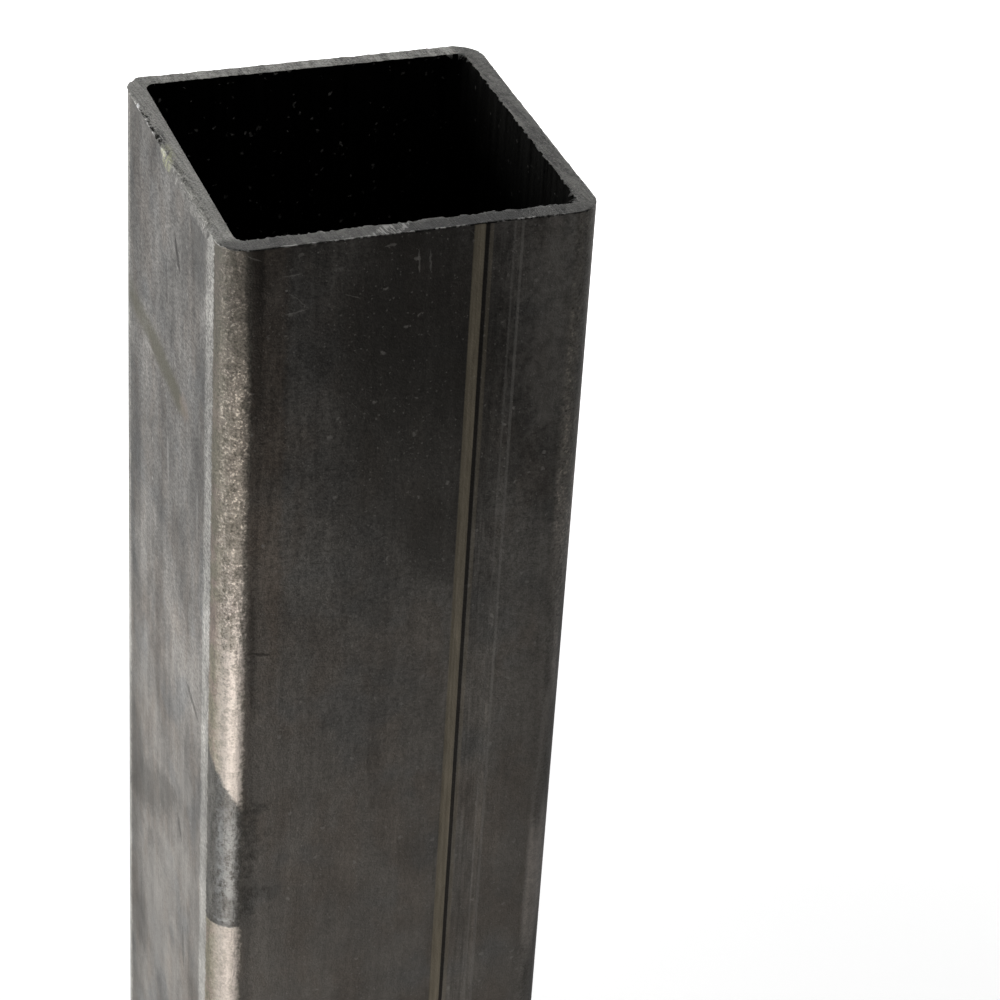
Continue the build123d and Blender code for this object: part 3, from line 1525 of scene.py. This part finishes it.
        # The scale under the crumbs, darker towards the top as painted shade, then the crumbs, which also
        # carry a painted reflection, the pits between them and the bright specks, which are painted glints.
        rosy = board.times(layer.grain(6, 0.42, 0.6), layer.step(height, 480, 380, 0.4, 0.8))
        base = board.tint(rosy, self.olive, self.rose)
        base = board.tint(layer.step(ragged, -2, 16, 0.0, 0.9), base, self.scale)
        deep = board.tint(near, (0.9, 0.9, 0.9), board.curve(share, UNDER_SHADE))
        level = board.times(layer.swing((wear.fine, 0.3), (wear.grain, 0.35), (crumbs, 0.4)), deep)
        colour = board.paint(colour, board.scaled(base, level), zone, 0.93)
        pinkish = board.times(layer.step(ragged, -4, 3), layer.step(height, 440, 380, 0.35, 1.0))
        colour = board.paint(colour, board.tint(pinkish, self.butter_highlight, self.cream_highlight), ridge_highlight, zone)
        pits = board.times(layer.grain(0.7, 0.4, 0.3), board.times(ridge, zone))
        colour = board.paint(colour, self.umber, pits, layer.step(height, 340, 400, 0.12, 0.65))
        spark_glints = board.times(layer.specks(1.2, 0.25), board.times(ridge, rub_and_reflection))
        colour = board.paint(colour, self.white, spark_glints, 0.6)
        return colour, board.times(zone, ridge_highlight)

    def reflected_spot(self, layer: Layer, wear: Wear, colour: Socket) -> Socket:
        """A grey spot on the front left bend: a painted reflection of something dark on the floor beside
        the tube, breaking the bright ridge.

        Args:
            layer: The layer.
            wear: The shared masks.
            colour: The colour under it.

        Returns:
            The colour.
        """
        board, height, ragged = layer.board, layer.height, layer.ragged
        edge = board.plus(layer.grain(1.8, 0.3, 0.7), -0.5)
        slope = board.line(edge, 2.0 * MM, board.line(layer.around, 1.3, height))
        foot = board.line(edge, 0.6 * MM, height)
        spot = board.times(layer.step(slope, 339, 336), layer.step(foot, 286.4, 287))
        spot = board.times(spot, layer.lane(-6.9, 7.5, 0.9))

        # Its greys, with pits and a dark line along its foot.
        streak = layer.streaks(1.3, 5)
        spots, blotches = layer.grain(1.2), layer.grain(2.8, 0.35, 0.65)
        mottle = layer.swing((spots, 0.9), (streak, 0.7), (wear.grain, 0.4), (blotches, 0.8))
        lighter = board.times(layer.step(ragged, -3.4, 0.6), layer.step(ragged, 8.2, 5.0))
        lighter = board.times(lighter, mottle, layer.step(height, 316, 332, 0.8, 0.35))
        low = layer.stretch(height, 290.5, 296, 2.0)
        lighter = board.times(lighter, board.gain(low, -0.5))
        dark = board.scaled(self.reflected_grey, layer.swing((wear.grain, 0.6), (streak, 0.5)))
        reflected_grey = board.tint(lighter, dark, self.reflected_mist)
        holes = board.times(layer.grain(1.0, 0.4, 0.3), layer.step(height, 300, 330, 0.35, 0.75))
        colour = board.paint(colour, board.tint(holes, reflected_grey, self.umber), spot, 0.96)
        brim = board.times(layer.stretch(foot, 286.8, 288.2, 0.5), spot)
        colour = board.paint(colour, self.umber, brim, 0.35)

        # A dark shade beside it on the welded wall.
        fuzzy = board.line(board.plus(layer.grain(5, 0.35, 0.65), -0.5), 9 * MM, layer.around)
        shade = board.times(layer.step(fuzzy, 15.5, 7.5), layer.lane(7.4, 20, 1.0))
        shade = board.times(shade, layer.stretch(height, 293, 326, 9))
        shade = board.times(shade, layer.grain(1.6, 0.25, 0.6))
        return board.paint(colour, self.smoke, shade, 0.8)

    def rubs(self, layer: Layer, colour: Socket) -> Socket:
        """Scratches, rubs and an oily smear from handling.

        Args:
            layer: The layer.
            colour: The colour under them.

        Returns:
            The colour.
        """
        board = layer.board
        colour = board.paint(colour, self.oil, layer.marks(MARKS, Tone.OIL), 0.92)
        for tone, paint in ((Tone.RUST, self.rust), (Tone.DARK, self.soot_and_shade), (Tone.PALE, self.pale)):
            colour = board.paint(colour, paint, layer.marks(MARKS, tone))
        return colour


@dataclass(frozen=True)
class SawnSteel:
    """Cut ends: bare grey steel, scored by the saw, darker towards the front and the right as painted
    shade, and bright on its burrs, with a painted highlight along the outer edge.
    """

    half: float
    length: float
    surface: Surface = Surface(metallic=0.6, roughness=0.45, relief=0.7, relief_height=0.12 * MM)
    scale: Colour = (0.18, 0.175, 0.164)
    steel: Colour = (0.455, 0.447, 0.412)
    dull: Colour = (0.03, 0.029, 0.0255)
    bright: Colour = (0.8, 0.79, 0.76)
    white: Colour = (0.98, 0.98, 0.97)
    torn: Colour = (0.012, 0.012, 0.011)
    smudge: Colour = (0.4, 0.41, 0.25)

    def build(self, effects: Effects) -> bpy.types.Material:
        """Makes the material.

        Args:
            effects: The shared node groups.

        Returns:
            The material.
        """
        material, layer, shader = new_material("sawn_steel", effects)
        board = layer.board
        scores = self.scores(layer, 0.45, 9.0)
        bars = self.scores(layer, 2.6, 16.0)
        grain = layer.grain(0.5, 0.35, 0.65)
        blotch = layer.grain(1.6, 0.36, 0.62)
        mottle = board.line(board.plus(bars, -0.5), 0.4, board.times(board.plus(blotch, -0.5), 0.26))
        mottle = board.times(mottle, board.gain(layer.lane(-92, -8, 3), -0.75))
        level = board.line(scores, 0.34, board.line(grain, 0.5, 0.03))
        level = board.times(board.plus(level, mottle), layer.step(layer.around, -85, -20, 0.93, 1.08))
        colour = board.tint(level, self.dull, self.steel)
        colour = self.burrs(layer, colour)
        colour = self.tear(layer, colour)
        rough = layer.swing((grain, 0.3), (scores, 0.2))
        self.surface.apply(board, shader, colour, rough, board.plus(scores, board.times(grain, 0.6)))
        return material

    def scores(self, layer: Layer, width: float, length: float) -> Socket:
        """Lines that the saw teeth leave, leaned a little from the Y direction.

        Args:
            layer: The layer.
            width: Width of a line, in millimetres.
            length: Length of a line, in millimetres.

        Returns:
            The mask.
        """
        board = layer.board
        turned = board.add("ShaderNodeMapping", vector_type="TEXTURE")
        board.feed(turned.inputs["Vector"], layer.position)
        turned.inputs["Rotation"].default_value = (0.0, 0.0, SAW_LEAN)
        turned.inputs["Scale"].default_value = (width * MM, length * MM, 3.0 * MM)
        return board.fade(board.noise(turned.outputs[0], 1.0, 3.0, 0.6), 0.3, 0.7)

    def burrs(self, layer: Layer, colour: Socket) -> Socket:
        """Bright worn metal along the cut's edges, lit along the outer edge as a painted highlight, and
        painted shade towards the front and the right.

        Args:
            layer: The layer.
            colour: The colour under it.

        Returns:
            The colour.
        """
        board, half = layer.board, self.half / MM
        x, y, _ = board.split(layer.position)
        out = board.math("MAXIMUM", board.math("ABSOLUTE", x), board.math("ABSOLUTE", y))
        rim = layer.step(out, half - 0.9, half - 0.3)
        # Worn metal along the outer edge, which also carries a painted highlight.
        worn = board.times(rim, board.rest(layer.lane(-63, -8, 4)), layer.grain(2.3, 0.52, 0.62))
        # Scale of the wall, down the stretch that is ground over.
        under = board.fade(layer.height, self.length - 0.6 * MM, self.length - 2.0 * MM)
        streak = layer.swing((layer.streaks(1.4, 12), 0.6), (layer.grain(0.6), 0.5))
        colour = board.paint(colour, board.scaled(self.scale, streak), under, layer.lane(-64, -8, 3))

        # Painted shade, darker towards the front and the right, and the dark of the torn inner edge at the
        # right.
        front = layer.step(y, 4.0 - half, 9.0 - half, 1.0, 0.0)
        front = board.times(front, layer.step(x, -0.5 * half, 0.3 * half, 0.65, 0.72))
        front = board.line(layer.lane(50, 74, 6), board.times(front, 0.24), front)
        right = board.times(layer.step(x, half - 9.0, half - 4.0), 0.55)
        lip = layer.step(out, half - 5.1, half - 5.4)
        torn = board.times(lip, layer.step(x, 0.3 * half, 0.6 * half), 0.85)
        colour = board.scaled(colour, board.rest(board.most(front, right, torn)))

        # Bright metal.
        flecks = board.times(layer.grain(0.8, 0.65, 0.72), 0.4)
        strands = board.times(layer.lane(37.5, 45, 1.5), self.scores(layer, 0.7, 5))
        strands = board.fade(strands, 0.45, 0.7)
        strands = board.times(strands, layer.step(y, 4.2 - half, 5.2 - half, 1.0, 0.6))
        bright = board.most(board.times(worn, 0.6), flecks, board.times(strands, 0.38))
        return board.paint(colour, self.bright, bright)

    def tear(self, layer: Layer, colour: Socket) -> Socket:
        """Dark in the torn stretch of the edge, a bright fleck before it and a smudge after it.

        Args:
            layer: The layer.
            colour: The colour under it.

        Returns:
            The colour.
        """
        board, around = layer.board, layer.around
        inward = board.plus(board.split(layer.position)[0], self.half)
        wander = board.line(layer.grain(2.0, 0.3, 0.7), 1.6 * MM, 0.2 * MM)
        apart = board.math("ABSOLUTE", board.math("SUBTRACT", inward, wander))
        beside = board.math("ABSOLUTE", board.math("SUBTRACT", apart, 1.1 * MM))
        apart = board.math("MINIMUM", apart, beside)
        width = layer.step(around, -72, -64, 0.2 * MM, 0.6 * MM)
        crack = board.times(board.fade(apart, width, board.times(width, 0.35)), layer.lane(-80, -60, 2.5))
        crack = board.times(crack, layer.step(inward, 3.2, 2.0))
        colour = board.paint(colour, self.torn, crack, layer.grain(1.0, 0.45, 0.53), 0.95)
        fleck = board.times(layer.lane(-83.6, -82.3, 0.5), layer.step(inward, 1.0, 0.5))
        colour = board.paint(colour, self.white, fleck, 0.95)
        smudge = board.times(layer.lane(-57, -51, 2.5), layer.step(inward, 3.6, 0.8))
        return board.paint(colour, self.smudge, smudge, layer.grain(1.3, 0.4, 0.6), 0.6)


@dataclass(frozen=True)
class InsideScale:
    """Inside of the tube: dark oil-soaked scale, painted darker still as shade down the bore, with a few
    specks of dust.
    """

    length: float
    surface: Surface = Surface(
        metallic=0.0, roughness=0.6, relief=0.5, relief_height=0.1 * MM, specular=0.04
    )
    # Darker than the scale itself, as painted shade down the bore.
    black_and_shade: Colour = (0.006, 0.006, 0.0055)
    dust: Colour = (0.8, 0.78, 0.74)

    def build(self, effects: Effects) -> bpy.types.Material:
        """Makes the material.

        Args:
            effects: The shared node groups.

        Returns:
            The material.
        """
        material, layer, shader = new_material("inside_scale", effects)
        board = layer.board
        streaks = layer.streaks(2.5, 60)
        grain = layer.grain(0.8)
        mouth = board.fade(layer.height, 0.82 * self.length, 0.95 * self.length)
        dots = board.most(
            layer.specks(2.2, 0.06),
            board.times(layer.specks(1.4, 0.03), 0.5),
            board.times(layer.specks(1.7, 0.14), mouth),
        )
        dots = board.times(dots, layer.step(board.split(layer.position)[0], 0.0, 40, 1.0, 0.2))
        colour = board.scaled(self.black_and_shade, layer.swing((streaks, 1.0), (grain, 0.6)))
        colour = board.paint(colour, self.dust, dots, layer.grain(4, 0.42, 0.62))
        rough = layer.swing((grain, 0.3), (streaks, 0.2))
        self.surface.apply(board, shader, colour, rough, board.plus(grain, streaks))
        return material


# ---------------------------------------------------------------------------------- the tube


@dataclass
class SquareTube:
    """The tube itself: one closed piece of steel, from the lower cut to the upper one."""

    section: Section
    length: float
    fine: float = 0.33 * MM  # column spacing at the top cut
    medium: float = 0.7 * MM
    coarse: float = 3.0 * MM
    row: float = 4.5 * MM  # ring spacing up the outside
    inner_row: float = 18.0 * MM  # ring spacing up the inside
    top_steps: int = 14  # rings over the flat of each cut
    bottom_steps: int = 8
    sharp: float = math.radians(50.0)
    name: str = "tube_wall"

    def rows_near_cut(self) -> list[tuple[float, float, float]]:
        """Rows just inside a cut, where the mesh thins out.

        Returns:
            For each, away from the cut: its distance from the cut, in metres, how much of the
            broken edge's reach is added to that, and the column spacing, in metres.
        """
        return [
            (0.5 * MM, 1.0, self.fine),
            (1.8 * MM, 0.85, self.fine),
            (3.6 * MM, 0.6, self.medium),
            (6.0 * MM, 0.3, self.medium),
            (9.0 * MM, 0.0, self.coarse),
        ]

    def build(self) -> bpy.types.Object:
        """Makes the mesh and its object.

        Returns:
            The tube, in place.
        """
        section, skin = self.section, Skin()
        top, bottom = SawnEnd(section.half, top=True), SawnEnd(section.half, top=False)
        near = self.rows_near_cut()
        start, end = near[-1][0], self.length - near[-1][0]
        heights = np.linspace(start, end, round((end - start) / self.row) + 1)
        inner_heights = np.linspace(end, start, round((end - start) / self.inner_row) + 1)

        def outside(cut: SawnEnd, distance: float, reach: float, spacing: float) -> None:
            """Adds a ring to the outside.

            Args:
                cut: The cut that it is placed from.
                distance: How far it is from the cut, in metres.
                reach: How much of the broken edge's reach is added to that.
                spacing: Column spacing, in metres.
            """
            columns = section.columns(spacing)
            away = distance + reach * cut.edge_size(columns)[1]
            height = self.length - away if cut.top else away
            skin.add(columns, section.outer_depth(columns, height), height, Finish.ROLLED)

        def inside(spacing: float, height: float) -> None:
            """Adds a ring to the inside."""
            columns = section.columns(spacing)
            skin.add(columns, section.inner_depth(columns), height, Finish.INSIDE)

        for distance, reach, spacing in near[:-1]:
            outside(bottom, distance, reach, max(spacing, self.medium))
        for height in heights:
            outside(bottom, height, 0.0, self.coarse)
        for distance, reach, spacing in reversed(near[:-1]):
            outside(top, distance, reach, spacing)
        self.add_cut(skin, top, self.fine, self.top_steps)
        for distance, _, spacing in near[1:-1]:
            inside(spacing, self.length - distance)
        for height in inner_heights:
            inside(self.coarse, height)
        for distance, _, spacing in reversed(near[1:-1]):
            inside(max(spacing, self.medium), distance)
        self.add_cut(skin, bottom, self.medium, self.bottom_steps)
        skin.close(Finish.ROLLED)

        mesh = skin.mesh(self.name, self.sharp)
        tube = bpy.data.objects.new(self.name, mesh)
        bpy.context.scene.collection.objects.link(tube)
        return tube

    def add_cut(self, skin: Skin, cut: SawnEnd, spacing: float, steps: int) -> None:
        """Adds the rings of one cut end.

        Args:
            skin: The mesh to add to.
            cut: The end.
            spacing: Column spacing, in metres.
            steps: Rings over the cut face.
        """
        columns = self.section.columns(spacing)
        plane = self.length if cut.top else 0.0
        away = -1.0 if cut.top else 1.0
        outer = self.section.outer_depth(columns, plane)
        inner = self.section.inner_depth(columns)
        rings = cut.profile(columns, outer, inner, steps)
        finishes = [Finish.ROLLED] + [finish for _, _, finish in rings[1:]]
        if not cut.top:
            rings = rings[::-1]
            finishes = [Finish.INSIDE] + [finish for _, _, finish in rings[:-1]]
        for (depth, below, _), finish in zip(rings, finishes):
            skin.add(columns, depth, plane + away * below, finish)

    def dress(self, tube: bpy.types.Object) -> None:
        """Gives the tube its finishes.

        Args:
            tube: The tube's object.
        """
        effects = Effects(self.section)
        finishes = {
            Finish.ROLLED: RolledSteel(self.length, self.section).build(effects),
            Finish.SAWN: SawnSteel(self.section.half, self.length).build(effects),
            Finish.INSIDE: InsideScale(self.length).build(effects),
        }
        for finish in Finish:
            tube.data.materials.append(finishes[finish])


# ---------------------------------------------------------------------------------- the studio


@dataclass(frozen=True)
class Softbox:
    """A soft square light that shines from a place towards the middle of the tube."""

    name: str
    place: Point
    size: float
    power: float
    target: Point = (0.0, 0.0, 0.3)
    colour: Colour = (1.0, 1.0, 1.0)
    on_floor: bool = True

    def build(self, floor_off: bpy.types.Collection) -> None:
        """Makes the light.

        Args:
            floor_off: Collection that leaves the floor out, for a light that stands close to it.
        """
        data = bpy.data.lights.new(self.name, "AREA")
        data.shape = "SQUARE"
        data.size = self.size
        data.energy = self.power
        data.color = self.colour
        light = bpy.data.objects.new(self.name, data)
        light.location = self.place
        light.rotation_mode = "QUATERNION"
        aim = Vector(self.target) - Vector(self.place)
        light.rotation_quaternion = aim.to_track_quat("-Z", "Y")
        light.visible_camera = False
        if not self.on_floor:
            light.light_linking.receiver_collection = floor_off
        bpy.context.scene.collection.objects.link(light)


@dataclass(frozen=True)
class Studio:
    """Pale floor, soft lights and the camera."""

    floor_size: float = 40.0
    floor_seen: Colour = (0.9, 0.9, 0.9)  # to the camera
    floor_dim: Colour = (0.3, 0.3, 0.3)  # to the tube
    floor_glow: float = 0.42  # near the tube, and 1 far from it
    glow_start: float = 0.35
    glow_end: float = 1.2
    footprint: float = 49.0 * MM  # the floor doesn't glow inside the tube
    world_seen: Colour = (1.0, 1.0, 1.0)
    world_dim: Colour = (0.06, 0.06, 0.06)
    lens: float = 120.0  # lens and sensor width, in millimetres
    sensor: float = 36.0
    camera_place: Point = (-0.2464, -0.7357, 0.8895)
    camera_aim: Point = (0.3115, 0.7823, -0.5395)
    camera_roll: float = math.radians(3.9)
    clip: tuple[float, float] = (0.01, 100.0)
    softboxes: tuple[Softbox, ...] = (
        Softbox("left_light", (-1.5, 0.4, 0.3), 1.3, 42.0),
        Softbox("top_light", (0.3, 1.1, 1.9), 1.6, 11.0),
        Softbox(
            "front_light",
            (-0.24, -0.36, 0.06),
            0.25,
            0.85,
            target=(0.0, 0.0, 0.15),
            colour=(1.0, 0.93, 0.86),
            on_floor=False,
        ),
        Softbox("right_light", (1.3, 0.9, 0.3), 1.2, 12.0),
        Softbox("back_light", (0.2, 1.8, 0.3), 1.2, 12.0),
    )

    def build(self) -> None:
        """Makes everything in the studio."""
        floor_off = self.build_floor()
        self.build_world()
        self.build_camera()
        for softbox in self.softboxes:
            softbox.build(floor_off)
            log.info("light %s", softbox.name)

    def build_floor(self) -> bpy.types.Collection:
        """Makes the pale floor that the tube stands on.

        Returns:
            A collection that leaves the floor out of what a light falls on.
        """
        reach = self.floor_size / 2.0
        corners = [(-reach, -reach), (reach, -reach), (reach, reach), (-reach, reach)]
        mesh = bpy.data.meshes.new("floor")
        mesh.from_pydata([(x, y, 0.0) for x, y in corners], [], [(0, 1, 2, 3)])
        floor = bpy.data.objects.new("floor", mesh)
        bpy.context.scene.collection.objects.link(floor)
        material = bpy.data.materials.new("pale_floor")
        board = blank_board(material)
        seen = board.add("ShaderNodeLightPath").outputs["Is Camera Ray"]
        matt = board.add("ShaderNodeBsdfDiffuse")
        board.feed(matt.inputs["Color"], board.tint(seen, self.floor_dim, self.floor_seen))
        place = board.add("ShaderNodeTexCoord").outputs["Object"]
        x, y, _ = board.split(board.vector("ABSOLUTE", place))
        outside = board.fade(board.most(x, y), self.footprint - 3.0 * MM, self.footprint)
        away = board.fade(board.vector("LENGTH", place), self.glow_start, self.glow_end, self.floor_glow)
        glow = board.add("ShaderNodeEmission")
        board.feed(glow.inputs["Strength"], board.times(away, board.times(seen, outside)))
        both = board.add("ShaderNodeAddShader")
        board.feed(both.inputs[0], matt.outputs[0])
        board.feed(both.inputs[1], glow.outputs[0])
        out = board.add("ShaderNodeOutputMaterial")
        board.feed(out.inputs["Surface"], both.outputs[0])
        mesh.materials.append(material)
        floor_off = bpy.data.collections.new("floor_off")
        floor_off.objects.link(floor)
        floor_off.collection_objects[0].light_linking.link_state = "EXCLUDE"
        return floor_off

    def build_world(self) -> None:
        """Makes the surroundings: white to look at, and dim on the tube."""
        world = bpy.data.worlds.new("surroundings")
        bpy.context.scene.world = world
        board = blank_board(world)
        background = board.add("ShaderNodeBackground")
        seen = board.add("ShaderNodeLightPath").outputs["Is Camera Ray"]
        board.feed(background.inputs["Color"], board.tint(seen, self.world_dim, self.world_seen))
        out = board.add("ShaderNodeOutputWorld")
        board.feed(out.inputs["Surface"], background.outputs[0])

    def build_camera(self) -> None:
        """Makes the camera and sets it as the scene's own."""
        data = bpy.data.cameras.new("camera")
        data.lens = self.lens
        data.sensor_width = self.sensor
        data.clip_start = self.clip[0]
        data.clip_end = self.clip[1]
        camera = bpy.data.objects.new("camera", data)
        camera.location = self.camera_place
        camera.rotation_mode = "QUATERNION"
        aim = Vector(self.camera_aim).to_track_quat("-Z", "Y")
        camera.rotation_quaternion = aim @ Quaternion((0.0, 0.0, 1.0), self.camera_roll)
        bpy.context.scene.collection.objects.link(camera)
        bpy.context.scene.camera = camera
        bpy.context.scene.view_settings.view_transform = "Standard"


def main() -> None:
    """Builds the studio and the tube."""
    logging.basicConfig(level=logging.INFO, format="%(name)s: %(message)s")
    low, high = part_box(NODE)
    section = Section(half=(high.x - low.x) / 2.0)
    Studio().build()

    maker = SquareTube(section, high.z)
    tube = maker.build()
    maker.dress(tube)
    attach(tube, "root")
    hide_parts(NODE)
    triangles = sum(len(face.vertices) - 2 for face in tube.data.polygons)
    log.info("piece %s: %d points, %d triangles", tube.name, len(tube.data.vertices), triangles)


if __name__ == "__main__":
    main()
